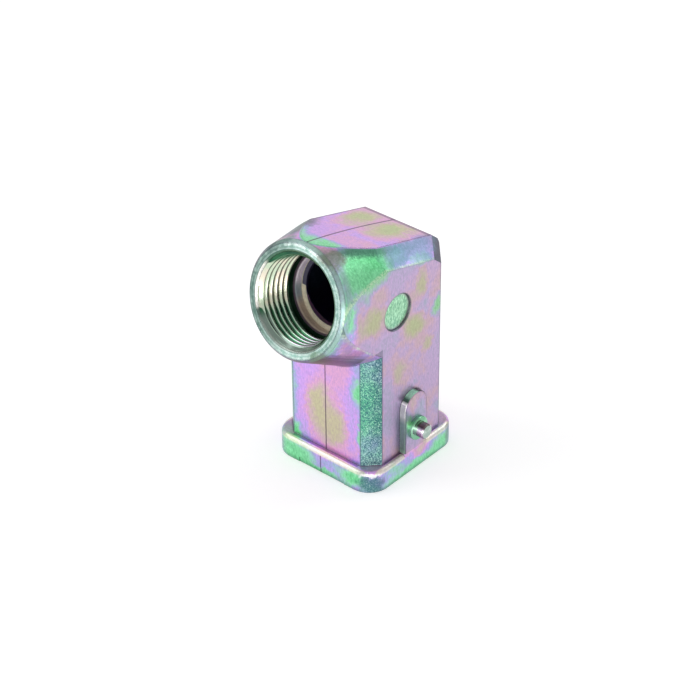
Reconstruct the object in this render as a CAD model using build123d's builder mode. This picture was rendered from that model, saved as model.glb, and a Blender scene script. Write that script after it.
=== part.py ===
"""Heavy-duty connector hood with a slanted cable entry, and its two locking pegs.

Frame, in millimetres: the origin is the middle of the mating rim, +Z is up
and the cable entry looks towards -Y.
"""
from build123d import *
import os
from math import cos, radians, sin, tan

os.makedirs("parts", exist_ok=True)

# Body: a square column with bevelled upright corners
body_width = 25.0
body_depth = 25.0
corner_bevel = 3.15
corner_edge_round = 0.4

# The top and the cable entry climb towards the mouth at one angle
nose_tilt = 15.5
top_rear_height = 50.05
shoulder_bevel = 3.7

# Bevels round the rear of the top: width on the sloping faces, drop on the walls
rear_bevel_width = 2.1
rear_bevel_drop = 1.15

# Nose: a cone about the entry axis, with a bevelled rim at the mouth
mouth_reach = 21.4
mouth_height = 46.4
mouth_radius = 11.85
mouth_rim_radius = 12.5
mouth_rim_depth = 0.7
cone_half_angle = 14.3

# Inside of the entry, each depth from the mouth
thread_radius = 10.0
lead_in_radius = 10.35
lead_in_depth = 0.35
thread_end_depth = 8.9
relief_radius = 10.35
relief_end_depth = 10.0
neck_radius = 8.4
neck_chamfer = 0.4
neck_end_depth = 12.3
passage_radius = 7.5
passage_lip = 0.9

# Foot that embraces the collar of the housing below
foot_width = 28.0
foot_depth = 28.8
foot_height = 5.2
foot_corner_radius = 5.0
foot_edge_round = 1.0
rim_wall = 1.75
rim_recess_depth = 3.2
relief_width = 12.5
relief_height = 1.2
relief_depth = 0.12

# Arched pads that carry the pegs
pad_width = 7.2
pad_arch_height = 15.7
pad_edge_round = 0.3

# Locking pegs
peg_height = 10.6
peg_radius = 1.7
peg_length = 3.0
peg_end_chamfer = 0.3
collar_radius = 2.7
collar_thickness = 1.0
collar_round = 0.3
shank_radius = 1.3
shank_clearance = 0.02

# Inside: a pocket for the contact insert, then a narrower cavity that stops it
pocket_wall = 1.8
pocket_depth = 18.0
cavity_wall = 2.6
roof_wall = 2.2
lug_width = 7.0
lug_reach = 4.6
lug_round = 1.5
screw_hole_radius = 1.25
screw_hole_depth = 6.5
screw_from_lug_face = 2.4

# Round marking recess on the right side, left bare
mark_radius = 4.1
mark_depth = 0.45
mark_y = -4.4
mark_z = 40.7

# Far enough to pass right through the hood
through = 80.0

half_width = body_width / 2
half_depth = body_depth / 2
foot_half = foot_width / 2
slope_sin = sin(radians(nose_tilt))
slope_cos = cos(radians(nose_tilt))
top_slope_height = top_rear_height * slope_cos + half_depth * slope_sin
cavity_rear = half_depth - cavity_wall
passage_start_depth = neck_end_depth + passage_lip
passage_end_depth = mouth_reach / slope_cos
screw_y = cavity_rear - lug_reach + screw_from_lug_face
shank_hole_radius = shank_radius + shank_clearance

mouth_centre = Vector(0, -mouth_reach, mouth_height)
outward = Vector(0, -slope_cos, slope_sin)
off_slope = Vector(0, slope_sin, slope_cos)
entry_axis = Axis(mouth_centre, outward)
# X is the radius about the entry axis, Y the way out of the mouth
entry_profile = Plane(mouth_centre, x_dir=off_slope, z_dir=(1, 0, 0))
# Holds the entry axis and is level across
axis_plane = Plane(mouth_centre, x_dir=(1, 0, 0), z_dir=off_slope)
# Square to the slope: X across the hood, Y off the slope
slope_section = Plane((0, 0, 0), x_dir=(1, 0, 0), z_dir=outward)


def column_outline(inset):
    """Body outline with bevelled corners, moved in by inset."""
    with BuildSketch() as outline:
        Rectangle(body_width, body_depth)
        chamfer(outline.vertices(), corner_bevel)
        if inset > 0:
            offset(amount=-inset, kind=Kind.INTERSECTION, mode=Mode.REPLACE)
    return outline.sketch


def roof_outline(inset):
    """Section under the sloping top and its two shoulders, moved in by inset."""
    flat_end = half_width - shoulder_bevel
    with BuildSketch(slope_section) as outline:
        Polygon(
            (-flat_end, top_slope_height),
            (-flat_end - through, top_slope_height - through),
            (flat_end + through, top_slope_height - through),
            (flat_end, top_slope_height),
            align=None,
        )
        if inset > 0:
            offset(amount=-inset, kind=Kind.INTERSECTION, mode=Mode.REPLACE)
    return outline.sketch


def rear_bevel(edge_point, slope_normal, wall_normal):
    """Plane, facing out, that bevels the edge between a sloping face and a wall."""
    along = slope_normal.cross(wall_normal).normalized()
    on_slope = edge_point + rear_bevel_width * slope_normal.cross(along)
    on_wall = edge_point + rear_bevel_drop * along.cross(wall_normal)
    return Plane(on_slope, x_dir=along, z_dir=(on_wall - on_slope).cross(along))


# Over the rear wall, then over the corner bevel of each side
rear_bevels = [rear_bevel(Vector(0, half_depth, top_rear_height), off_slope, Vector(0, 1, 0))]
shoulder_drop = shoulder_bevel / slope_cos - corner_bevel * tan(radians(nose_tilt))
for side in (1, -1):
    shoulder_corner = Vector(
        side * half_width, half_depth - corner_bevel, top_rear_height - shoulder_drop
    )
    shoulder_normal = (off_slope + Vector(side, 0, 0)).normalized()
    corner_normal = Vector(side, 1, 0).normalized()
    rear_bevels.append(rear_bevel(shoulder_corner, shoulder_normal, corner_normal))


# Outer form of the nose, in front of which the mouth opens
with BuildPart() as nose:
    with BuildSketch(entry_profile):
        cone_length = through - mouth_rim_depth
        cone_end_radius = mouth_rim_radius + cone_length * tan(radians(cone_half_angle))
        Polygon(
            (0, 0),
            (0, -through),
            (cone_end_radius, -through),
            (mouth_rim_radius, -mouth_rim_depth),
            (mouth_radius, 0),
            align=None,
        )
    revolve(axis=entry_axis)
    with BuildSketch() as slab_outline:
        with Locations((0, half_depth)):
            Rectangle(body_width, through, align=(Align.CENTER, Align.MAX))
        chamfer(slab_outline.vertices().group_by(Axis.Y)[-1], corner_bevel)
    extrude(amount=through, mode=Mode.INTERSECT)
    extrude(roof_outline(0), amount=2 * through, both=True, mode=Mode.INTERSECT)

# Arched pad of the right side, from the face of the pocket wall out
with BuildPart() as pad:
    with BuildSketch(Plane.YZ.offset(half_width - pocket_wall)):
        Rectangle(pad_width, pad_arch_height, align=(Align.CENTER, Align.MIN))
        with Locations((0, pad_arch_height)):
            Circle(pad_width / 2)
    extrude(amount=foot_half - half_width + pocket_wall)
    pad_rim = pad.faces().sort_by(Axis.X)[-1].edges().sort_by(Axis.Z)[1:]
    fillet(pad_rim, pad_edge_round)

# Foot, its upper edge rounded, with a shallow relief low on the entry side
with BuildPart() as foot:
    with BuildSketch():
        RectangleRounded(foot_width, foot_depth, foot_corner_radius)
    extrude(amount=foot_height)
    fillet(foot.faces().sort_by(Axis.Z)[-1].edges(), foot_edge_round)
    with BuildSketch(Plane.XZ.offset(foot_depth / 2)):
        Rectangle(relief_width, relief_height, align=(Align.CENTER, Align.MIN))
    extrude(amount=-relief_depth, mode=Mode.SUBTRACT)

# Space inside, as the casting core: the cavity, without the lug for the insert screw
with BuildPart() as core:
    extrude(column_outline(cavity_wall), amount=through)
    extrude(roof_outline(roof_wall), amount=2 * through, both=True, mode=Mode.INTERSECT)
    for bevel in rear_bevels:
        split(bisect_by=bevel.offset(-cavity_wall), keep=Keep.BOTTOM)
    with BuildSketch(Plane(mouth_centre - passage_start_depth * outward, z_dir=outward)):
        Rectangle(4 * through, 4 * through)
    extrude(amount=through, mode=Mode.SUBTRACT)
    with BuildSketch(Plane.XY.offset(pocket_depth)) as lug_outline:
        with Locations((0, cavity_rear)):
            Rectangle(lug_width, 2 * lug_reach)
        fillet(lug_outline.vertices().group_by(Axis.Y)[0], lug_round)
    extrude(amount=through, mode=Mode.SUBTRACT)
    extrude(column_outline(pocket_wall), amount=pocket_depth)

with BuildPart() as hood_shell:
    # Column, up to the plane of the entry axis, and the nose on it
    extrude(column_outline(0), amount=through)
    split(bisect_by=axis_plane, keep=Keep.BOTTOM)
    add(nose.part)
    for bevel in rear_bevels:
        split(bisect_by=bevel, keep=Keep.BOTTOM)
    fillet(hood_shell.edges().filter_by(Axis.Z), corner_edge_round)

    # Foot, and the pads flush with its sides
    add(foot.part)
    add(pad.part)
    mirror(pad.part, about=Plane.YZ)

    # Inside: the core, the recess for the housing's collar, and the cable entry
    add(core.part, mode=Mode.SUBTRACT)
    with BuildSketch():
        RectangleRounded(
            foot_width - 2 * rim_wall, foot_depth - 2 * rim_wall, foot_corner_radius - rim_wall
        )
    extrude(amount=rim_recess_depth, mode=Mode.SUBTRACT)
    with BuildSketch(entry_profile):
        Polygon(
            (0, lead_in_depth),
            (0, -passage_end_depth),
            (passage_radius, -passage_end_depth),
            (passage_radius, -neck_end_depth),
            (neck_radius, -neck_end_depth),
            (neck_radius, -relief_end_depth - neck_chamfer),
            (neck_radius + neck_chamfer, -relief_end_depth),
            (relief_radius, -relief_end_depth),
            (relief_radius, -thread_end_depth),
            (thread_radius, -thread_end_depth),
            (thread_radius, -lead_in_depth),
            (lead_in_radius, 0),
            (lead_in_radius, lead_in_depth),
            align=None,
        )
    revolve(axis=entry_axis, mode=Mode.SUBTRACT)

    # Holes for the peg shanks and the insert screw, and the bare marking recess
    with Locations((0, 0, peg_height)):
        Cylinder(shank_hole_radius, foot_width + 1, rotation=(0, 90, 0), mode=Mode.SUBTRACT)
    with Locations((0, screw_y, pocket_depth)):
        Cylinder(
            screw_hole_radius,
            screw_hole_depth,
            align=(Align.CENTER, Align.CENTER, Align.MIN),
            mode=Mode.SUBTRACT,
        )
    with BuildSketch(Plane.YZ.offset(half_width)):
        with Locations((mark_y, mark_z)):
            Circle(mark_radius)
    extrude(amount=-mark_depth, mode=Mode.SUBTRACT)

hood_shell.part.label = "hood_shell"
export_step(hood_shell.part, "parts/hood_shell.step")

# Locking peg of the right side, turned: pin, collar seated on the pad, shank in the wall
shank_start = half_width - pocket_wall
collar_face = foot_half + collar_thickness
pin_end = foot_half + peg_length
with BuildPart() as locking_peg_right:
    with BuildSketch(Plane((0, 0, peg_height), x_dir=(1, 0, 0), z_dir=(0, -1, 0))):
        Polygon(
            (shank_start, 0),
            (pin_end, 0),
            (pin_end, peg_radius - peg_end_chamfer),
            (pin_end - peg_end_chamfer, peg_radius),
            (collar_face, peg_radius),
            (collar_face, collar_radius),
            (foot_half, collar_radius),
            (foot_half, shank_radius),
            (shank_start, shank_radius),
            align=None,
        )
    revolve(axis=Axis((0, 0, peg_height), (1, 0, 0)))
    widest_edges = locking_peg_right.edges().filter_by(GeomType.CIRCLE).group_by(SortBy.RADIUS)[-1]
    fillet(widest_edges.sort_by(Axis.X)[-1], collar_round)
locking_peg_right.part.label = "locking_peg_right"
export_step(locking_peg_right.part, "parts/locking_peg_right.step")

with BuildPart() as locking_peg_left:
    mirror(locking_peg_right.part, about=Plane.YZ)
locking_peg_left.part.label = "locking_peg_left"
export_step(locking_peg_left.part, "parts/locking_peg_left.step")
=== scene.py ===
import math

import bmesh
import bpy
from mathutils import Matrix, Vector


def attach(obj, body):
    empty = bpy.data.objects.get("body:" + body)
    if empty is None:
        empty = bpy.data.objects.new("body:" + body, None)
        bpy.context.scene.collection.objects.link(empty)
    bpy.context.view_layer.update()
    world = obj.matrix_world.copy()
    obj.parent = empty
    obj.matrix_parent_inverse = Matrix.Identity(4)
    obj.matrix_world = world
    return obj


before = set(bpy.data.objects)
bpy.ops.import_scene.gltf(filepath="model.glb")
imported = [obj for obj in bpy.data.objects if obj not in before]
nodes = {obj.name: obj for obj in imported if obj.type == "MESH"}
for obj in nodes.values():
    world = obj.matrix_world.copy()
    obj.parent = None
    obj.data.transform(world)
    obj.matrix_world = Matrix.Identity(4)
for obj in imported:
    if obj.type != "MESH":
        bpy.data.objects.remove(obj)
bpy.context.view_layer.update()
scene = bpy.context.scene
scene.view_settings.view_transform = "Standard"
mm = 0.001

# The cable entry: middle of its mouth, the way out of it, and the way square to it
entry = {"mouth": Vector((0, -21.4, 46.4)), "tilt": math.radians(15.5)}
entry["out"] = Vector((0, -math.cos(entry["tilt"]), math.sin(entry["tilt"])))
entry["up"] = Vector((0, math.sin(entry["tilt"]), math.cos(entry["tilt"])))


# Camera

view = {
    "azimuth": 40.63, "elevation": 33.92, "roll": -0.26,
    "aim": Vector((0, 0, 25)), "distance": 450, "lens": 110.62,
    "shift": (-0.0217, -0.0065),
}


def makeCamera():
    a, e, roll = (math.radians(view[k]) for k in ("azimuth", "elevation", "roll"))
    back = Vector((math.sin(a) * math.cos(e), -math.cos(a) * math.cos(e), math.sin(e)))
    right = Vector((math.cos(a), math.sin(a), 0))
    up = back.cross(right)
    turned = right * math.cos(roll) + up * math.sin(roll)
    upright = up * math.cos(roll) - right * math.sin(roll)
    data = bpy.data.cameras.new("camera")
    data.lens = view["lens"]
    data.sensor_width = 36
    data.shift_x, data.shift_y = view["shift"]
    data.clip_start, data.clip_end = 0.01, 20
    camera = bpy.data.objects.new("camera", data)
    scene.collection.objects.link(camera)
    camera.matrix_world = Matrix.Translation((view["aim"] + back * view["distance"]) * mm) @ Matrix(
        (turned, upright, back)).transposed().to_4x4()
    scene.camera = camera


makeCamera()
print("camera set at the photograph's angle")


# Small helpers for materials

def linear(r, g, b):  # sRGB 0 to 255
    return tuple((c / 255 / 12.92) if c <= 10 else ((c / 255 + 0.055) / 1.055) ** 2.4 for c in (r, g, b)) + (1,)


class Graph:
    # Wires one material's nodes. A socket or a plain value may go into any input,
    # and a colour is a socket or its red, green and blue from 0 to 255.
    def __init__(self, name):
        self.material = bpy.data.materials.new(name)
        self.material.use_nodes = True
        self.tree = self.material.node_tree
        self.tree.nodes.clear()
        self.made = 0
        self.colour = None

    def node(self, kind, inputs=(), **settings):
        n = self.tree.nodes.new(kind)
        n.location = (self.made % 12 * 190, -(self.made // 12) * 260)
        self.made += 1
        for key, value in settings.items():
            setattr(n, key, value)
        for key, value in dict(inputs).items():
            if isinstance(value, bpy.types.NodeSocket):
                self.tree.links.new(value, n.inputs[key])
            else:
                n.inputs[key].default_value = value
        return n

    def calc(self, operation, a, b=0.0):
        return self.node("ShaderNodeMath", {0: a, 1: b}, operation=operation).outputs[0]

    def add(self, a, b):
        return self.calc("ADD", a, b)

    def less(self, a, b):
        return self.calc("SUBTRACT", a, b)

    def product(self, *values):
        total = values[0]
        for value in values[1:]:
            total = self.calc("MULTIPLY", total, value)
        return total

    def size(self, a):
        return self.calc("ABSOLUTE", a)

    def larger(self, a, b):
        return self.calc("MAXIMUM", a, b)

    def over(self, a, b):
        return self.calc("GREATER_THAN", a, b)

    def under(self, a, b):
        return self.calc("LESS_THAN", a, b)

    def outside(self, mask):
        return self.less(1.0, mask)

    def vector(self, operation, a, b=(0, 0, 0)):
        n = self.node("ShaderNodeVectorMath", {0: a, 1: b}, operation=operation)
        return n.outputs["Value" if operation in ("LENGTH", "DOT_PRODUCT") else "Vector"]

    def ramp(self, value, low, high, start=0.0, end=1.0):
        # smooth step of value from low to high, giving start to end
        return self.node("ShaderNodeMapRange", {0: value, 1: low, 2: high, 3: start, 4: end},
                         interpolation_type="SMOOTHSTEP").outputs[0]

    def straight(self, value, low, high, start, end):
        return self.node("ShaderNodeMapRange", {0: value, 1: low, 2: high, 3: start, 4: end}).outputs[0]

    def noise(self, position, scale, detail=2.0, roughness=0.5, output="Fac"):
        return self.node("ShaderNodeTexNoise", {"Vector": position, "Scale": scale, "Detail": detail,
                                               "Roughness": roughness}).outputs[output]

    def toolMarks(self, along):
        return self.node("ShaderNodeTexNoise", {"W": along, "Scale": 1.0, "Detail": 2.0},
                         noise_dimensions="1D").outputs["Fac"]

    def mixValue(self, share, a, b):
        return self.node("ShaderNodeMix", {0: share, 2: a, 3: b}, data_type="FLOAT").outputs[0]

    def mixColour(self, share, a, b, blend="MIX"):
        a, b = (c if isinstance(c, bpy.types.NodeSocket) else linear(*c) for c in (a, b))
        return self.node("ShaderNodeMix", {0: share, 6: a, 7: b}, data_type="RGBA", blend_type=blend).outputs[2]

    def paint(self, share, tint):
        # lays a tint over the colour so far
        self.colour = self.mixColour(share, self.colour, tint)

    def bands(self, value, stops):
        ramp = self.node("ShaderNodeValToRGB", {0: value})
        elements = ramp.color_ramp.elements
        while len(elements) < len(stops):
            elements.new(0.5)
        for element, (position, colour) in zip(elements, stops):
            element.position = position
            element.color = linear(*colour)
        return ramp.outputs[0]

    def onPart(self):
        # where the surface lies, in mm
        coordinates = self.node("ShaderNodeTexCoord").outputs["Object"]
        self.place = self.vector("MULTIPLY", coordinates, (1000, 1000, 1000))
        self.x, self.y, self.z = self.node("ShaderNodeSeparateXYZ", {0: self.place}).outputs
        self.farX, self.farY = self.size(self.x), self.size(self.y)

    def inEntry(self):
        # depth into the entry, distance from its axis, and how far round: side is right, lift is up
        fromMouth = self.vector("SUBTRACT", self.place, tuple(entry["mouth"]))
        self.depth = self.product(self.vector("DOT_PRODUCT", fromMouth, tuple(entry["out"])), -1)
        across = self.vector("DOT_PRODUCT", fromMouth, (1, 0, 0))
        upward = self.vector("DOT_PRODUCT", fromMouth, tuple(entry["up"]))
        self.radius = self.calc("SQRT", self.add(self.product(across, across), self.product(upward, upward)))
        self.side = self.calc("DIVIDE", across, self.radius)
        self.lift = self.calc("DIVIDE", upward, self.radius)

    def finish(self, metal, roughness, normal):
        shader = self.node("ShaderNodeBsdfPrincipled", {
            "Base Color": self.colour, "Metallic": metal, "Roughness": roughness, "Normal": normal})
        self.tree.links.new(shader.outputs[0], self.node("ShaderNodeOutputMaterial").inputs[0])
        return self.material


# The iridescent film of passivated zinc: one thickness value picks the colour
filmColours = [
    (0.00, (92, 138, 122)), (0.09, (106, 212, 142)), (0.19, (146, 226, 176)),
    (0.29, (166, 206, 208)), (0.39, (176, 178, 230)), (0.50, (212, 168, 242)),
    (0.61, (226, 172, 214)), (0.72, (212, 184, 192)), (0.84, (202, 194, 162)),
    (1.00, (180, 202, 142)),
]

# Patches of the film: where on the shell, how far it reaches, and its thickness there
topPatches = [
    ((-5.2, -9.6, 55.9), (5.2, 5.6, 3), 0.50), ((-4.6, 4.4, 52.3), (3.2, 7.0, 3), 0.92),
    ((3.2, 5.0, 52.2), (3.6, 7.0, 2.5), 0.95), ((-2.5, -17.0, 58.2), (8, 4.6, 2.5), 0.15),
    ((4.2, -9.0, 56.2), (4.0, 4.6, 2), 0.58), ((-1.0, 10.8, 50.7), (9, 1.6, 2), 0.64),
    ((-6.8, -13.4, 57.2), (2.6, 3.4, 2), 0.16), ((2.6, -14.4, 57.5), (4.0, 2.6, 1.6), 0.15),
]
wallPatches = [
    # shoulder and cone, right side
    ((9.2, -11.4, 55.2), (4.6, 7.0, 5.0), 0.10), ((10.6, -13.6, 53.0), (4.2, 5.6, 6.8), 0.14),
    ((10.4, -8.2, 53.6), (3.6, 3.4, 3.6), 0.10), ((10.4, -2.0, 52.2), (3.0, 3.8, 3.4), 0.32),
    ((10.0, 4.4, 51.2), (3.0, 5.6, 3.0), 0.40), ((12.3, 2.5, 49.6), (1.4, 9.0, 1.6), 0.24),
    ((8.7, -19.3, 54.9), (5.6, 1.5, 9.0), 0.43),
    ((11.0, -16.8, 52.0), (2.2, 2.2, 4.0), 0.17), ((12.4, -19.4, 46.8), (1.6, 2.4, 7.0), 0.15),
    # side
    ((12.5, -4.0, 49.0), (5, 6.0, 2.4), 0.47), ((12.5, 7.6, 24.0), (5, 3.4, 9.0), 0.48),
    ((12.5, -7.4, 18.0), (5, 2.0, 12.0), 0.44), ((12.5, 6.6, 46.0), (5, 2.6, 3.0), 0.52),
    ((12.5, -11.6, 41.8), (5, 3.4, 3.4), 0.88), ((12.5, 1.0, 35.0), (5, 3.4, 2.4), 0.92),
    ((12.5, 3.0, 44.3), (5, 2.0, 3.0), 0.84), ((12.5, 8.8, 36.6), (5, 2.0, 2.8), 0.13),
    ((12.5, -10.4, 47.2), (5, 2.8, 2.2), 0.66), ((12.5, -8.4, 34.5), (5, 2.8, 5.0), 0.46),
    ((12.5, -4.0, 25.5), (5, 2.0, 2.4), 0.78), ((12.5, 5.0, 28.5), (5, 1.8, 2.0), 0.82),
    ((12.5, -3.6, 13.0), (5, 2.4, 6.0), 0.44), ((12.5, 6.4, 20.0), (5, 3.0, 5.0), 0.50),
    # left side and rear
    ((-12.5, -3.0, 36.0), (5, 3.4, 4.0), 0.90), ((-12.5, 7.8, 25.0), (5, 1.7, 8.5), 0.21),
    ((-12.5, 1.0, 46.0), (5, 7.0, 3.0), 0.42), ((-12.5, -6.0, 20.0), (5, 2.6, 7.0), 0.45),
    ((-12.5, -13.6, 41.0), (5, 5.0, 2.2), 0.23), ((-12.5, 4.0, 14.0), (5, 2.6, 4.0), 0.80),
    ((-10.4, -8.0, 53.4), (3.6, 6.0, 4.0), 0.12), ((-10.4, 2.0, 51.4), (3.0, 4.0, 3.4), 0.34),
    ((2.6, 12.5, 17.0), (4.6, 4, 7.0), 0.88), ((-6.4, 12.5, 30.0), (3.0, 4, 8.0), 0.46),
    ((7.4, 12.5, 33.0), (2.4, 4, 5.0), 0.13), ((-3.0, 12.5, 42.0), (4.4, 4, 3.4), 0.84),
    ((8.6, 12.5, 12.0), (2.2, 4, 5.0), 0.30), ((-9.0, 12.5, 9.0), (2.4, 4, 3.0), 0.13),
    ((0.0, 14.4, 2.6), (8.0, 4, 2.4), 0.15), ((-14.0, 3.0, 2.0), (4, 8.0, 2.6), 0.15),
    ((-14.0, -9.0, 3.0), (4, 4.0, 2.0), 0.38), ((-10.0, 14.4, 2.6), (3.0, 4, 2.4), 0.40),
    # under the cone
    ((12.0, -15.2, 36.2), (3.4, 4.2, 3.2), 0.47), ((9.5, -17.5, 36.0), (3.4, 3.4, 2.4), 0.62),
    ((10.6, -22.4, 41.0), (4.0, 1.7, 4.5), 0.20), ((5.0, -22.0, 36.0), (5.5, 1.8, 2.0), 0.86),
    # front
    ((-2.4, -12.5, 15.5), (3.6, 4, 8.5), 0.86), ((2.2, -12.5, 12.0), (3.8, 4, 7.0), 0.84),
    ((3.4, -12.5, 25.5), (4.0, 4, 5.0), 0.60), ((-5.0, -12.5, 25.0), (3.6, 4, 6.0), 0.49),
    ((-7.0, -12.5, 17.0), (1.8, 4, 7.0), 0.50),
    ((6.8, -12.5, 17.0), (2.0, 4, 10.0), 0.46), ((9.6, -12.5, 23.8), (2.6, 4, 4.4), 0.12),
    ((9.8, -12.5, 12.0), (1.3, 4, 7.0), 0.20), ((-9.8, -12.5, 17.0), (1.9, 4, 12.0), 0.30),
    ((-9.4, -12.5, 6.4), (3.8, 4, 3.0), 0.12), ((-6.2, -12.5, 9.0), (2.0, 4, 3.4), 0.47),
    ((4.4, -12.5, 6.6), (3.6, 4, 1.8), 0.58), ((9.6, -12.5, 29.4), (2.4, 4, 2.0), 0.36),
    # foot
    ((-8.4, -14.4, 2.2), (8.0, 4, 3.4), 0.14), ((2.6, -14.4, 3.2), (4.0, 4, 2.0), 0.38),
    ((8.8, -14.4, 2.6), (4.4, 4, 3.0), 0.10), ((-2.0, -14.4, 0.4), (9, 4, 1.2), 0.12),
    ((14.0, -6.5, 3.2), (4, 5.5, 1.6), 0.25), ((14.0, -1.0, 0.6), (4, 13.0, 1.8), 0.16),
    ((14.0, 8.6, 2.4), (4, 5.0, 3.0), 0.15),
    # pad of the right side
    ((14.4, -2.2, 12.6), (3, 1.6, 2.6), 0.17), ((14.4, 1.5, 14.5), (3, 2.2, 3.4), 0.40),
    ((14.4, -0.4, 7.4), (3, 3.0, 2.4), 0.46),
]

# Patches painted over the casting, duller, darker or paler, among them painted shade and reflection
# left of the nose and on the shoulder and a painted highlight on a foot corner: where, how far it reaches, colour
# and strength
stainsAndPaintedLight = [
    # painted dark reflection on the left of the nose
    ((-8.9, -12.8, 55.2), (3.2, 9.0, 2.3), (88, 108, 108), 0.88),   # left of the nose
    ((-5.4, -18.0, 57.2), (2.0, 2.0, 1.6), (126, 156, 148), 0.75),
    ((6.3, -17.0, 56.6), (3.6, 2.4, 1.9), (122, 132, 114), 0.85),   # right of the mouth's top
    # painted shade on the shoulder
    ((10.6, -1.6, 52.0), (2.6, 5.5, 2.2), (84, 136, 146), 0.62),    # shoulder
    ((10.6, 6.4, 50.4), (3.4, 6.0, 2.9), (114, 142, 166), 0.62),
    ((10.8, -6.4, 53.3), (2.2, 2.4, 2.4), (80, 136, 116), 0.5),
    ((10.9, -17.2, 36.0), (2.6, 3.4, 2.2), (190, 122, 184), 0.6),   # under the nose
    ((9.2, -20.8, 36.4), (2.2, 1.8, 2.0), (118, 104, 142), 0.6),
    ((12.2, -19.0, 39.8), (1.6, 2.4, 3.2), (162, 132, 178), 0.6),
    ((8.2, -23.4, 37.0), (2.6, 1.4, 2.0), (116, 140, 112), 0.7),
    ((13.4, 11.2, 3.0), (1.8, 2.0, 3.0), (104, 130, 124), 0.6),     # corners of the foot
    ((11.9, -12.4, 1.9), (3.0, 3.0, 2.0), (50, 106, 106), 0.7),
    # painted highlight on the top edge of the front right foot corner
    ((12.0, -12.6, 4.3), (2.4, 2.4, 0.6), (252, 252, 250), 0.95),
    ((-11.4, -12.8, 5.2), (2.0, 1.6, 1.0), (182, 194, 196), 0.7),
    ((-11.8, -13.0, 2.6), (1.3, 1.6, 2.6), (176, 192, 184), 0.6),
]

# Colours of the pad's wall, with a painted highlight and painted dark reflections: up its front flank to 0.5, then
# round the arch to its rear flank at 1
padWallLightAndShade = [
    (0.0, (124, 156, 136)), (0.36, (142, 172, 162)), (0.42, (206, 214, 206)), (0.45, (255, 254, 252)),
    (0.585, (255, 254, 252)), (0.615, (50, 76, 64)), (0.64, (60, 98, 80)), (0.675, (156, 206, 178)),
    (0.76, (156, 216, 184)), (0.80, (30, 44, 42)),
]

# Sizes of the shell that its finish follows, in mm
shell = {
    "side": 12.52,        # flat sides, and a hair more
    "footClear": 5.3,     # just above the foot
    "noseFrom": 34,       # the nose is above this height
    "topFrom": 49,
    "topHeight": 53.516,  # of the sloping top, over the middle
    "topSlope": 0.2773,
    "bevelFrom": 9.0,     # corner bevels are further out than this
    "boreRadius": 10.45, "boreEnd": 12.4,
    "ringRadius": 12.2, "rimFrom": 11.8,
    "padFace": 13.9, "padHalf": 3.7, "padArch": 15.75,
    "mark": (12.5, -4.4, 40.7), "markRadius": 4.12,
}

shellFinish = {
    "metal": 0.82, "roughness": 0.34, "turnedRoughness": 0.24, "neckRoughness": 0.5, "wallRoughness": 0.2,
    "filmBase": 0.56, "filmWaver": 4.0, "flicker": 0.21, "fleck": 0.9,
    "grain": 4.95, "grainHeight": 0.022, "cornerGrain": 3.6, "cornerGrainHeight": 0.10,
    "edgeRadius": 0.5, "edgeShade": 0.6, "nookReach": 0.6,
    "lineHalfWidth": 0.12, "lineDepth": 0.05,
}


def nearTo(g, centre, reach, inner, outer, strength):
    away = g.vector("DIVIDE", g.vector("SUBTRACT", g.moved, centre), reach)
    return g.ramp(g.vector("LENGTH", away), inner, outer, strength, 0.0)


def findPlaces(g):
    # masks of the shell's parts, each 1 on its part and 0 elsewhere
    g.onPart()
    g.inEntry()
    g.facing = g.node("ShaderNodeNewGeometry").outputs["True Normal"]
    g.faceX, g.faceY, g.faceZ = g.node("ShaderNodeSeparateXYZ", {0: g.facing}).outputs
    g.steepX, g.steepY = g.size(g.faceX), g.size(g.faceY)
    g.aboveFoot = g.over(g.z, shell["footClear"])
    g.onNose = g.over(g.z, shell["noseFrom"])
    g.overTop = g.over(g.z, shell["topFrom"])

    g.inBore = g.product(g.under(g.radius, shell["boreRadius"]), g.under(g.depth, shell["boreEnd"]))
    g.onRing = g.product(g.under(g.depth, 0.05), g.under(g.radius, shell["ringRadius"]))
    g.onRim = g.product(g.ramp(g.depth, 1.0, 0.6), g.over(g.radius, shell["rimFrom"]), g.outside(g.onRing))
    g.neck = g.product(g.over(g.depth, 9.95), g.under(g.radius, 9.0), g.under(g.depth, shell["boreEnd"]))

    # corner bevels, and the rounded corners of the foot
    g.turning = g.size(g.product(g.faceX, g.faceY))
    g.bevelTop = g.mixValue(g.over(g.y, 0), 34.0, 60.0)
    g.onBevel = g.over(g.farY, shell["bevelFrom"])
    g.corner = g.product(g.ramp(g.turning, 0.34, 0.42), g.ramp(g.size(g.faceZ), 0.35, 0.2),
                         g.under(g.z, g.bevelTop), g.over(g.z, 5.25), g.onBevel)
    roundX = g.larger(g.calc("DIVIDE", g.less(g.farX, 9.0), 5.0), 0.0)
    roundY = g.larger(g.calc("DIVIDE", g.less(g.farY, 9.4), 5.0), 0.0)
    footCorner = g.product(g.ramp(g.product(roundX, roundY), 0.12, 0.5), g.ramp(g.z, 4.8, 2.6), 0.62)
    g.corner = g.larger(g.corner, footCorner)

    g.belowTop = g.less(shell["topHeight"], g.add(g.z, g.product(g.y, shell["topSlope"])))
    g.onTop = g.ramp(g.belowTop, 0.2, 0.04)
    g.padWall = g.product(g.over(g.farX, shell["side"]), g.under(g.farX, 13.93),
                          g.under(g.farY, shell["padHalf"]), g.aboveFoot, g.under(g.steepX, 0.8))
    g.outX, g.outY = g.less(g.farX, 13.0), g.less(g.farY, 13.4)
    g.outward = g.larger(g.outX, g.outY)

    # noises that several finishes share
    streaked = g.vector("MULTIPLY", g.place, (1.0, 1.0, 0.4))
    g.speckle = g.noise(streaked, 2.4, 4.0, 0.75)
    g.coarse = g.noise(g.place, shellFinish["cornerGrain"], 2.0, 0.75)


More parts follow.
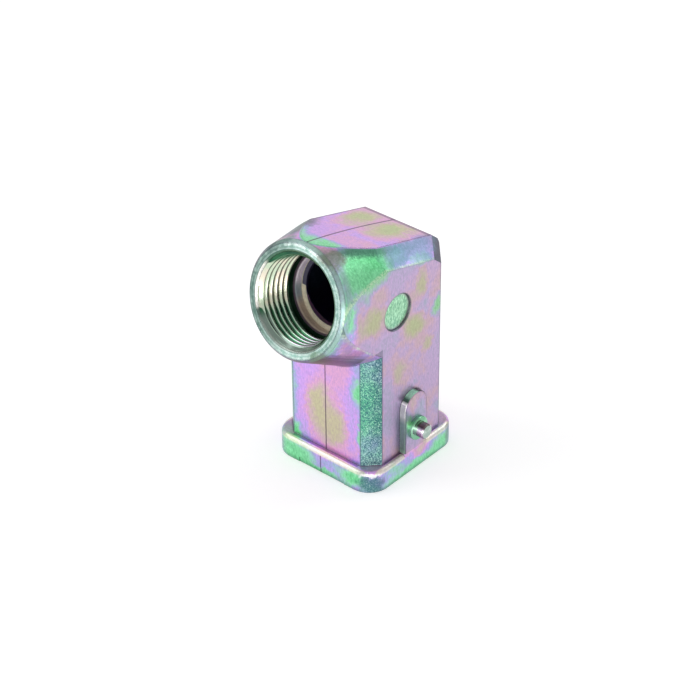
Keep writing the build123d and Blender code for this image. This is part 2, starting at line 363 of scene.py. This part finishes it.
def filmFinish(g):
    # a mottled base, then each patch pulls the film to its own thickness
    g.moved = g.place
    waver, base = shellFinish["filmWaver"], shellFinish["filmBase"]
    for scale, size in ((0.22, waver), (1.1, waver * 0.55)):
        shift = g.vector("SUBTRACT", g.noise(g.place, scale, 2.5, 0.6, "Color"), (0.5, 0.5, 0.5))
        g.moved = g.vector("ADD", g.moved, g.vector("MULTIPLY", shift, (size, size, size)))
    cloud = g.straight(g.noise(g.place, 0.16, 3.0, 0.6), 0.28, 0.72, base - 0.17, base + 0.2)
    films = []
    for patches in (wallPatches, topPatches):
        film = cloud
        for centre, reach, thickness in patches:
            film = g.mixValue(nearTo(g, centre, reach, 0.25, 1.45, 0.97), film, thickness)
        films.append(film)
    film = g.mixValue(g.onTop, *films)

    # it flickers from grain to grain, in streaks that run upwards
    calm = g.outside(g.product(g.corner, 0.7))
    film = g.add(film, g.product(g.less(g.speckle, 0.5), shellFinish["flicker"], calm))
    cornerFilm = g.straight(g.noise(g.place, 0.35, 2.0, 0.6), 0.3, 0.7, -0.06, 0.08)
    fromMiddle = g.size(g.less(g.z, 19.5))
    cornerFilm = g.add(cornerFilm, g.ramp(fromMiddle, 2.5, 9.5, 0.10, 0.24))
    film = g.mixValue(g.product(g.corner, 0.92), film, cornerFilm)
    g.colour = g.bands(film, filmColours)


def mouthFinish(g):
    # turned face of the mouth: circular tool marks, with painted shade on the left, at the bore's edge and on the
    # right, and a painted glint near the top
    marks = g.toolMarks(g.product(g.radius, 5.0))
    patchy = g.noise(g.place, 0.9, 3.0, 0.6)
    tone = g.add(g.product(marks, 0.5), g.product(patchy, 0.5))
    bright = g.ramp(tone, 0.42, 0.6)
    light = g.mixColour(bright, (154, 194, 182), (212, 230, 225))
    shadedLeft = g.mixColour(bright, (88, 118, 108), (150, 174, 166))
    right = g.mixColour(bright, (108, 146, 136), (176, 204, 196))
    ring = g.mixColour(g.ramp(g.side, -0.75, 0.1), shadedLeft, light)
    ring = g.mixColour(g.ramp(g.radius, 10.62, 10.45, 0.0, 0.75), ring, (54, 84, 74))
    ring = g.mixColour(g.ramp(g.side, 0.2, 0.7, 0.0, 0.6), ring, right)
    # painted glint near the top of the ring
    glint = g.product(g.ramp(g.lift, 0.80, 0.9), g.ramp(g.side, -0.5, -0.3), g.ramp(g.radius, 11.0, 11.2),
                      g.ramp(tone, 0.42, 0.52), 0.6)
    g.paint(g.onRing, g.mixColour(glint, ring, (240, 252, 248)))
    # rim of the mouth: painted highlight on the right, painted shade on the left and below
    rimShading = g.mixColour(g.ramp(g.side, -0.9, -0.5), (78, 106, 100), (158, 202, 184))
    rimShading = g.mixColour(g.ramp(g.side, 0.55, 0.85), rimShading, (160, 190, 184))
    rimShading = g.mixColour(g.ramp(g.lift, -0.55, -0.8), rimShading, (92, 96, 108))
    g.paint(g.product(g.onRim, 0.85), rimShading)
    # painted shade beside the rim on the right
    shadeBesideRim = g.product(g.ramp(g.depth, 3.2, 1.8), g.ramp(g.depth, 0.9, 1.3), g.ramp(g.side, 0.35, 0.65), 0.5)
    g.paint(shadeBesideRim, (156, 162, 188))


def bodyFinish(g):
    # the flat sides are paler and greyer than the front
    paleSide = g.product(g.over(g.steepX, 0.9), g.aboveFoot, g.ramp(g.y, -19.0, -16.0), 0.44)
    g.paint(paleSide, (156, 164, 136))

    # pale flecks where the nose and shoulder meet the flat side
    inFromSide = g.less(shell["side"], g.farX)
    g.beforeRear = g.under(g.y, 9.0)
    flecks = g.product(g.ramp(inFromSide, 0.55, 0.15), g.onNose, g.ramp(g.steepX, 0.985, 0.96),
                       g.beforeRear, g.ramp(g.speckle, 0.40, 0.52), 0.75)
    g.paint(flecks, (204, 232, 196))
    g.besideCrest = g.product(g.ramp(inFromSide, 0.9, 0.4), g.onNose, g.beforeRear, g.ramp(g.belowTop, 0.3, 0.6))

    # painted shade: a dark band under the edge of the top, stronger towards the front
    ragged = g.add(g.belowTop, g.product(g.less(g.speckle, 0.5), 1.6))
    share = g.mixValue(g.ramp(g.y, -8, 2), 0.85, 0.35)
    shadeBand = g.product(g.ramp(ragged, 1.9, 0.7), g.ramp(g.belowTop, 0.03, 0.2), g.ramp(g.farX, 3.6, 6.8),
                     g.overTop, g.ramp(g.y, 11.2, 10.0), share)
    g.paint(shadeBand, (62, 100, 92))

    # painted shade on the facets over the rear corners, stronger on the right
    for way, strength in ((1, 0.93), (-1, 0.5)):
        shadedFacet = g.ramp(g.vector("DOT_PRODUCT", g.facing, (0.775 * way, 0.408, 0.4826)), 0.985, 0.996)
        g.paint(g.product(shadedFacet, strength), (56, 70, 82))


def padFinish(g):
    # pad that carries the peg: its wall carries a painted highlight where it turns over at the front, and painted
    # dark reflections round the arch
    archUp = g.larger(g.less(g.z, shell["padArch"]), 0.0)
    archAngle = g.calc("ARCTAN2", archUp, g.product(g.y, -1))
    upFlank = g.less(g.calc("MINIMUM", g.z, shell["padArch"]), 5.2)
    alongWall = g.add(g.calc("DIVIDE", upFlank, 21.1), g.calc("DIVIDE", archAngle, 2 * math.pi))
    g.paint(g.padWall, g.bands(alongWall, padWallLightAndShade))
    fromPad = g.calc("SQRT", g.add(g.product(g.y, g.y), g.product(archUp, archUp)))
    # painted shade along the edge of the pad's face, stronger at the front
    rimShading = g.product(g.ramp(fromPad, 3.15, 3.4), g.under(fromPad, 3.75),
                    g.over(g.farX, shell["padFace"]), g.aboveFoot,
                    g.ramp(archUp, 1.5, 0.0, 0.35, 1.0), g.mixValue(g.over(g.y, 0), 0.8, 0.5))
    g.paint(rimShading, (66, 82, 84))


def footFinish(g):
    # painted highlight along the upper edge, painted reflection on the ledge inside it, and painted shade over the
    # floor
    besidePad = g.larger(g.ramp(g.farY, 3.5, 3.8), g.under(g.outX, 0.0))
    # painted highlight along the foot's upper edge
    edge = g.product(g.ramp(g.z, 4.1, 4.5), g.under(g.z, shell["footClear"]),
                     g.ramp(g.outward, -0.1, 0.12), besidePad, 0.7)
    g.paint(edge, (236, 238, 206))
    # painted reflection on the ledge, paler in the corners
    ledgeReflection = g.product(g.over(g.z, 5.1), g.under(g.z, shell["footClear"]), g.ramp(g.outward, 0.0, -0.2),
                      g.over(g.faceZ, 0.5), 0.65)
    inCorner = g.product(g.over(g.farX, shell["bevelFrom"]), g.onBevel)
    g.paint(ledgeReflection, g.mixColour(inCorner, (112, 92, 112), (190, 172, 182)))
    # painted shade over the floor
    g.paint(g.product(g.ramp(g.z, 1.1, 0.2), g.ramp(g.outward, 0.4, 0.7), 0.5), (72, 124, 104))


def paintStainsAndLight(g):
    # lays the listed stains and painted light, then painted shade under the nose and along the top's outline
    unpatched = g.colour
    for centre, reach, tint, strength in stainsAndPaintedLight:
        g.paint(nearTo(g, centre, reach, 0.55, 1.25, strength), tint)
    # the flat sides keep their colour without these stains and painted light
    g.paint(g.over(g.steepX, 0.99), unpatched)  # no stain on the flat sides
    # painted shade on the underside of the nose
    shadeUnderNose = g.product(g.ramp(g.faceZ, -0.48, -0.68), g.ramp(g.y, -12.55, -13.2), g.ramp(g.z, 42, 38), 0.85)
    g.paint(shadeUnderNose, (82, 60, 70))
    # painted dark outline along the top's rear edge and the front of its left edge
    topOutlineShade = g.larger(g.ramp(g.y, 9.2, 9.7), g.product(g.ramp(g.x, -8.25, -8.65), g.ramp(g.y, -9.0, -7.0)))
    g.paint(g.product(topOutlineShade, g.onTop, 0.6), (96, 76, 106))


def markFinish(g):
    # floor of the round marking recess, and painted shade round its edge
    fromMark = g.vector("MULTIPLY", g.vector("SUBTRACT", g.place, shell["mark"]), (0, 1, 1))
    fromMark = g.vector("LENGTH", fromMark)
    floor = g.product(g.under(fromMark, shell["markRadius"]), g.under(g.x, 12.2), g.over(g.faceX, 0.9),
                      g.ramp(fromMark, 4.0, 3.2, 0.5, 0.85))
    g.paint(floor, g.mixColour(g.ramp(g.speckle, 0.4, 0.6), (112, 196, 146), (176, 236, 196)))
    # painted shade round the recess's edge
    edge = g.product(g.ramp(fromMark, 3.72, 4.0), g.ramp(fromMark, 4.28, 4.14), g.over(g.x, 11.9), 0.6)
    g.paint(edge, (70, 92, 92))


def insideFinish(g):
    # machined entry with its lead-in, the neck behind it, then the inside, a navy that is partly its bluish film and
    # partly painted shade
    bore = g.bands(g.noise(g.place, 0.5, 2.0), [(0.32, (36, 78, 60)), (0.66, (70, 110, 84))])
    # painted highlight on the lead-in's left side
    leadIn = g.mixColour(g.ramp(g.lift, -0.5, -0.42), (96, 116, 106), (250, 248, 240))
    leadIn = g.mixColour(g.ramp(g.lift, 0.42, 0.6), leadIn, (84, 122, 100))
    leadIn = g.mixColour(g.ramp(g.side, -0.5, -0.2), leadIn, (110, 146, 120))
    leadIn = g.mixColour(g.ramp(g.lift, -0.55, -0.7), leadIn, (150, 162, 154))
    leadInTo = g.mixValue(g.ramp(g.lift, -0.5, -0.7), 0.9, 2.4)
    g.paint(g.inBore, g.mixColour(g.ramp(g.less(g.depth, leadInTo), 0.0, -0.3), bore, leadIn))
    # neck: painted light above, greyer and tan below, a cream line at its inner end, and painted shadow on the
    # groove's shoulder that faces the mouth
    neck = g.mixColour(g.ramp(g.lift, -0.25, 0.05), (166, 176, 184), (255, 240, 253))
    neck = g.mixColour(g.ramp(g.lift, -0.35, -0.65), neck, (206, 184, 166))
    neck = g.mixColour(g.ramp(g.depth, 11.9, 12.1), neck, (250, 240, 214))
    neck = g.mixColour(g.ramp(g.depth, 10.35, 10.1), neck, (70, 48, 66))
    g.paint(g.neck, neck)
    # inside: bluish film darkened as painted shade
    cavity = g.product(g.under(g.farX, 9.93), g.under(g.farY, 9.93), g.over(g.belowTop, 1.216))
    pocket = g.product(g.under(g.farX, 10.72), g.under(g.farY, 10.72), g.under(g.z, 18.1))
    g.paint(g.product(g.larger(cavity, pocket), g.over(g.depth, 12.25), 0.92), (44, 44, 92))


def partingLine(g):
    # where the two halves of the die met: middle of front, rear, foot and top
    facingUp = g.over(g.faceZ, 0.95)
    bow = g.less(g.calc("POWER", g.calc("DIVIDE", g.y, 17.0), 2.0), 1.0)
    offLine = g.size(g.less(g.x, g.mixValue(facingUp, -0.2, bow)))
    offLine = g.product(offLine, g.mixValue(facingUp, 1.0, 0.72))
    half = shellFinish["lineHalfWidth"]
    upright = g.product(g.over(g.steepY, 0.98), g.over(g.farY, 12))
    alongTop = g.product(facingUp, g.overTop, g.under(g.y, 10.4))
    g.line = g.product(g.ramp(offLine, half * 0.4, half * 1.8, 1.0, 0.0), g.larger(upright, alongTop))
    g.paint(g.product(g.line, 0.85), (74, 54, 84))


def edgeAndNookShade(g):
    # painted dark outlines along the sharp edges and the column's edges, and painted shade in the inner corners;
    # then flecks in tone
    g.rounded = g.node("ShaderNodeBevel", {"Radius": shellFinish["edgeRadius"] * mm}, samples=6).outputs[0]
    overLedge = g.ramp(g.z, 5.6, 6.6)
    outOfBore = g.outside(g.inBore)
    # painted dark outlines along the sharp edges
    edge = g.ramp(g.vector("DOT_PRODUCT", g.rounded, g.facing), 0.9985, 0.96)
    edge = g.product(edge, overLedge, outOfBore, g.outside(g.padWall), g.outside(g.product(g.besideCrest, 0.75)),
                     g.mixValue(g.onTop, shellFinish["edgeShade"], 0.95))
    g.paint(edge, (84, 78, 104))
    # painted dark outline where the flat faces meet the corner bevels
    sideEnd = g.product(g.ramp(g.farY, 8.9, 9.3), g.over(g.steepX, 0.9))
    frontEnd = g.product(g.ramp(g.farX, 8.9, 9.3), g.over(g.steepY, 0.9))
    columnEdgeShade = g.product(g.larger(sideEnd, frontEnd), overLedge, g.under(g.farY, 12.6),
                          g.under(g.z, g.bevelTop), 0.5)
    g.paint(columnEdgeShade, (74, 88, 104))
    exposed = g.node("ShaderNodeAmbientOcclusion", {"Distance": shellFinish["nookReach"] * mm}, samples=6,
                     only_local=True).outputs["AO"]
    g.overSeat = g.ramp(g.z, 5.2, 5.4)
    bevelFoot = g.product(g.corner, g.ramp(g.z, 7.4, 6.4), g.overSeat)
    # painted shade in the inner corners
    nookShade = g.product(g.ramp(exposed, 0.9, 0.56), g.outside(g.larger(g.padWall, bevelFoot)), outOfBore, 0.75)
    g.paint(nookShade, (62, 58, 76))
    tone = g.add(1.0, g.product(g.less(g.speckle, 0.5), shellFinish["fleck"]))
    tone = g.node("ShaderNodeCombineXYZ", {0: tone, 1: tone, 2: tone}).outputs[0]
    g.colour = g.mixColour(1.0, g.colour, tone, "MULTIPLY")


def cornerFinish(g):
    # corner bevels: paler green low down, painted shade between the grains, a painted dark line where they turn into
    # the flat faces, a bluish tint, painted shade darker towards the side faces and upwards, and a painted highlight
    # on the grains' tips
    g.paint(g.product(g.corner, g.ramp(g.z, 9.6, 5.8, 0.0, 0.75), g.overSeat), (172, 230, 200))
    g.paint(g.product(g.corner, g.ramp(g.coarse, 0.55, 0.43), 0.85), (34, 72, 88))
    turnShade = g.product(g.ramp(g.turning, 0.05, 0.12), g.ramp(g.turning, 0.40, 0.32), g.aboveFoot,
                     g.onBevel, g.ramp(g.size(g.faceZ), 0.2, 0.1), 0.6)
    g.paint(turnShade, (48, 66, 84))
    g.paint(g.product(g.corner, 0.2), (110, 184, 204))
    # painted shade, darker towards the side faces and upwards
    acrossBevel = g.less(g.farX, g.farY)
    g.paint(g.product(g.corner, g.ramp(acrossBevel, -2.0, 3.0, 0.10, 0.48), g.ramp(g.z, 6.0, 15.0, 0.3, 1.0)),
            (38, 66, 92))
    g.paint(g.product(g.corner, g.ramp(g.coarse, 0.60, 0.68), 0.8), (214, 238, 232))


def shellMaterial():
    g = Graph("passivatedZinc")
    findPlaces(g)
    for step in (filmFinish, mouthFinish, bodyFinish, padFinish, footFinish, paintStainsAndLight, markFinish,
                 insideFinish, partingLine, edgeAndNookShade, cornerFinish):
        step(g)

    # grain in height, coarse on the corner bevels, with the parting line cut in
    machined = g.larger(g.inBore, g.onRing)
    fine = g.noise(g.place, shellFinish["grain"], 3.0, 0.65)
    height = g.product(fine, shellFinish["grainHeight"], g.outside(machined))
    height = g.add(height, g.product(g.coarse, shellFinish["cornerGrainHeight"], g.corner))
    height = g.less(height, g.product(g.line, shellFinish["lineDepth"]))
    bump = g.node("ShaderNodeBump", {"Strength": 1.0, "Distance": mm, "Height": height, "Normal": g.rounded})

    rough = g.mixValue(machined, shellFinish["roughness"], shellFinish["turnedRoughness"])
    rough = g.mixValue(g.neck, rough, shellFinish["neckRoughness"])
    rough = g.mixValue(g.padWall, rough, shellFinish["wallRoughness"])
    rough = g.add(rough, g.product(g.less(g.noise(g.place, 0.6, 2.0), 0.5), 0.12))
    metal = g.mixValue(g.larger(g.neck, g.product(g.padWall, 0.9)), shellFinish["metal"], 0.0)
    return g.finish(metal, rough, bump.outputs[0])


pegFinish = {"height": 10.6, "collarTo": 15.05, "endFrom": 16.95, "metal": 0.9, "roughness": 0.22,
             "edgeRadius": 0.12, "markScale": 9.0, "markHeight": 0.02}

# Shank of a peg from its underside, 0, to its top, 1: painted shade below and at the top, with a painted highlight
# between
pegShankShading = [
    (0.0, (104, 92, 116)), (0.32, (150, 118, 152)), (0.56, (206, 184, 208)), (0.70, (255, 254, 252)),
    (0.80, (232, 216, 228)), (0.90, (98, 72, 88)), (1.0, (128, 118, 118)),
]


def pegMaterial():
    g = Graph("turnedSteel")
    g.onPart()
    upward = g.less(g.z, pegFinish["height"])
    fromAxis = g.calc("SQRT", g.add(g.product(g.y, g.y), g.calc("POWER", upward, 2.0)))
    lift = g.calc("DIVIDE", upward, fromAxis)
    g.colour = g.bands(g.add(g.product(lift, 0.5), 0.5), pegShankShading)
    g.paint(g.product(g.under(g.farX, pegFinish["collarTo"]), 0.8), (128, 205, 158))
    g.paint(g.product(g.over(g.farX, pegFinish["endFrom"]), 0.8), (178, 204, 190))
    # fine turning marks round the axis
    scale = pegFinish["markScale"]
    marks = g.toolMarks(g.add(g.product(g.farX, scale), g.product(fromAxis, scale)))
    rounded = g.node("ShaderNodeBevel", {"Radius": pegFinish["edgeRadius"] * mm}, samples=4)
    bump = g.node("ShaderNodeBump", {"Strength": 0.5, "Distance": pegFinish["markHeight"] * mm,
                                     "Height": marks, "Normal": rounded.outputs[0]})
    return g.finish(pegFinish["metal"], pegFinish["roughness"], bump.outputs[0])


threadFinish = {"metal": 0.9, "roughness": 0.2, "markScale": 2.2, "markHeight": 0.03}


def threadMaterial():
    g = Graph("cutThread")
    g.onPart()
    g.inEntry()
    depth, side, lift = g.depth, g.side, g.lift
    cloud = g.noise(g.place, 0.24, 2.0)
    # crest colours carry a painted highlight, root colours painted shade
    crest = g.mixColour(g.ramp(cloud, 0.4, 0.6), (206, 222, 196), (236, 226, 206))
    root = g.mixColour(g.ramp(cloud, 0.35, 0.65), (34, 84, 62), (58, 112, 78))
    # painted highlight, cream, on the whole ridge at the left and only along its crest below; the roots carry
    # painted shade
    highlightTo = g.mixValue(g.product(g.ramp(lift, -0.62, -0.38), g.ramp(side, -0.2, -0.6)), 9.34, 9.74)
    highlightTo = g.mixValue(g.ramp(lift, 0.45, 0.7), highlightTo, 9.32)
    firstTurn = g.product(g.ramp(depth, 1.7, 1.3), g.ramp(lift, -0.5, -0.4), g.ramp(lift, 0.55, 0.45),
                          g.ramp(side, -0.2, -0.5))
    highlightTo = g.mixValue(firstTurn, highlightTo, 10.4)
    crest = g.mixColour(g.ramp(lift, -0.38, -0.62), crest, (196, 222, 200))
    crest = g.mixColour(g.ramp(lift, 0.5, 0.72), crest, (112, 160, 126))
    crest = g.mixColour(g.product(g.ramp(lift, -0.7, -0.85), g.ramp(side, -0.35, 0.1)), crest, (206, 198, 214))
    root = g.mixColour(g.product(g.ramp(lift, -0.5, -0.7), g.ramp(depth, 2.6, 1.8)), root, (128, 146, 136))
    g.colour = g.mixColour(g.ramp(g.less(g.radius, highlightTo), -0.05, 0.14), crest, root)
    marks = g.noise(g.place, threadFinish["markScale"], 2.0)
    bump = g.node("ShaderNodeBump", {"Strength": 0.25, "Distance": threadFinish["markHeight"] * mm,
                                     "Height": marks})
    return g.finish(threadFinish["metal"], threadFinish["roughness"], bump.outputs[0])


def dress(node, material):
    mesh = nodes[node].data
    mesh.materials.clear()
    mesh.materials.append(material)


dress("hood_shell", shellMaterial())
pegSteel = pegMaterial()
dress("locking_peg_right", pegSteel)
dress("locking_peg_left", pegSteel)
print("casting and pegs finished")


# Thread of the cable entry: one helical ridge inside the plain wall of the casting

thread = {
    "pitch": 1.5, "leadInRadius": 10.35, "start": 0.35, "end": 8.9,
    "crestAtLeft": 1.05, "stepsPerTurn": 96, "turns": 8, "sharpFrom": math.radians(60),
    # half of the ridge's section: width along the axis, radius; its foot stands in the wall
    "section": [(0.69, 10.04), (0.27, 9.32), (0.17, 9.21), (0.0, 9.19)],
}


def threadPiece():
    bm = bmesh.new()
    inward = -entry["out"]
    left = Vector((-1, 0, 0))
    # the closed section stands at the left wall, outside the mouth
    firstDepth = thread["crestAtLeft"] - thread["pitch"]
    section = thread["section"] + [(-w, r) for w, r in reversed(thread["section"][:-1])]
    points = [entry["mouth"] + left * r + inward * (firstDepth + w) for w, r in section]
    verts = [bm.verts.new(p) for p in points]
    for a, b in zip(verts, verts[1:] + verts[:1]):
        bm.edges.new((a, b))
    steps = thread["stepsPerTurn"] * thread["turns"]
    bmesh.ops.spin(bm, geom=bm.verts[:] + bm.edges[:], cent=entry["mouth"], axis=inward,
                   dvec=inward * (thread["pitch"] / thread["stepsPerTurn"]),
                   angle=2 * math.pi * thread["turns"], steps=steps, use_merge=False, use_duplicate=False)
    # cut square at the mouth and at the relief groove, and closed there
    for depth, way in ((thread["start"], 1), (thread["end"], -1)):
        bmesh.ops.bisect_plane(bm, geom=bm.verts[:] + bm.edges[:] + bm.faces[:], dist=1e-6,
                               plane_co=entry["mouth"] + inward * depth, plane_no=inward * way,
                               clear_inner=True)
    bmesh.ops.holes_fill(bm, edges=[e for e in bm.edges if e.is_boundary], sides=0)
    # the lead-in cone trims the first turn
    for v in bm.verts:
        offset = v.co - entry["mouth"]
        depth = offset.dot(inward)
        radial = offset - inward * depth
        least = thread["leadInRadius"] - depth
        if radial.length < least:
            v.co += radial.normalized() * (least - radial.length)
    bmesh.ops.remove_doubles(bm, verts=bm.verts, dist=0.0005)
    bmesh.ops.dissolve_degenerate(bm, edges=bm.edges, dist=0.0005)
    bmesh.ops.recalc_face_normals(bm, faces=bm.faces)
    for edge in bm.edges:
        edge.smooth = edge.calc_face_angle(0.0) < thread["sharpFrom"]
    bmesh.ops.scale(bm, vec=(mm, mm, mm), verts=bm.verts)
    mesh = bpy.data.meshes.new("entryThread")
    bm.to_mesh(mesh)
    bm.free()
    for polygon in mesh.polygons:
        polygon.use_smooth = True
    piece = bpy.data.objects.new("entryThread", mesh)
    scene.collection.objects.link(piece)
    mesh.materials.append(threadMaterial())
    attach(piece, "root")


threadPiece()
print("thread cut")


# Floor, world and lamps

studio = {
    "floorHalf": 2.4, "floorDrop": 0.00002, "floorTone": 0.86, "floorGlow": 0.34, "world": 0.8,
    # place and aim in mm, width and height in mm, watts
    "lamps": {
        "keyAbove": ((-335, -290, 410), (0, 0, 20), 330, 330, 0.72),
        "frontRight": ((215, -215, 48), (0, -18, 44), 170, 120, 0.22),
        "frontLow": ((-190, -345, 78), (14, -3, 17), 170, 60, 0.09),
        "rearLow": ((-216, 340, 110), (0, 0, 40), 320, 220, 0.062),
        "rearFill": ((120, 380, 300), (0, 0, 30), 260, 200, 0.38),
    },
}


def makeFloor():
    bm = bmesh.new()
    bmesh.ops.create_grid(bm, x_segments=1, y_segments=1, size=studio["floorHalf"])
    mesh = bpy.data.meshes.new("floor")
    bm.to_mesh(mesh)
    bm.free()
    floor = bpy.data.objects.new("floor", mesh)
    scene.collection.objects.link(floor)
    floor.location.z = -studio["floorDrop"]
    g = Graph("paleFloor")
    path = g.node("ShaderNodeLightPath").outputs
    seen = g.larger(g.larger(path["Is Camera Ray"], path["Is Glossy Ray"]), path["Is Transmission Ray"])
    paper = g.node("ShaderNodeBsdfDiffuse", {"Color": (studio["floorTone"],) * 3 + (1,)})
    glow = g.node("ShaderNodeEmission", {"Color": (1, 1, 1, 1),
                                         "Strength": g.product(seen, studio["floorGlow"])})
    both = g.node("ShaderNodeAddShader", {0: paper.outputs[0], 1: glow.outputs[0]})
    g.tree.links.new(both.outputs[0], g.node("ShaderNodeOutputMaterial").inputs[0])
    mesh.materials.append(g.material)


def makeLight():
    world = bpy.data.worlds.new("studio")
    world.use_nodes = True
    tree = world.node_tree
    tree.nodes.clear()
    surface = tree.nodes.new("ShaderNodeBackground")
    surface.inputs["Strength"].default_value = studio["world"]
    tree.links.new(surface.outputs[0], tree.nodes.new("ShaderNodeOutputWorld").inputs[0])
    scene.world = world
    for name, (place, aim, width, height, watts) in studio["lamps"].items():
        data = bpy.data.lights.new(name, "AREA")
        data.shape = "RECTANGLE"
        data.size, data.size_y = width * mm, height * mm
        data.energy = watts
        lamp = bpy.data.objects.new(name, data)
        lamp.visible_camera = False
        scene.collection.objects.link(lamp)
        way = Vector(place) - Vector(aim)
        lamp.matrix_world = Matrix.Translation(Vector(place) * mm) @ way.to_track_quat("Z", "Y").to_matrix().to_4x4()


makeFloor()
makeLight()
print("studio lit")

bpy.context.view_layer.update()
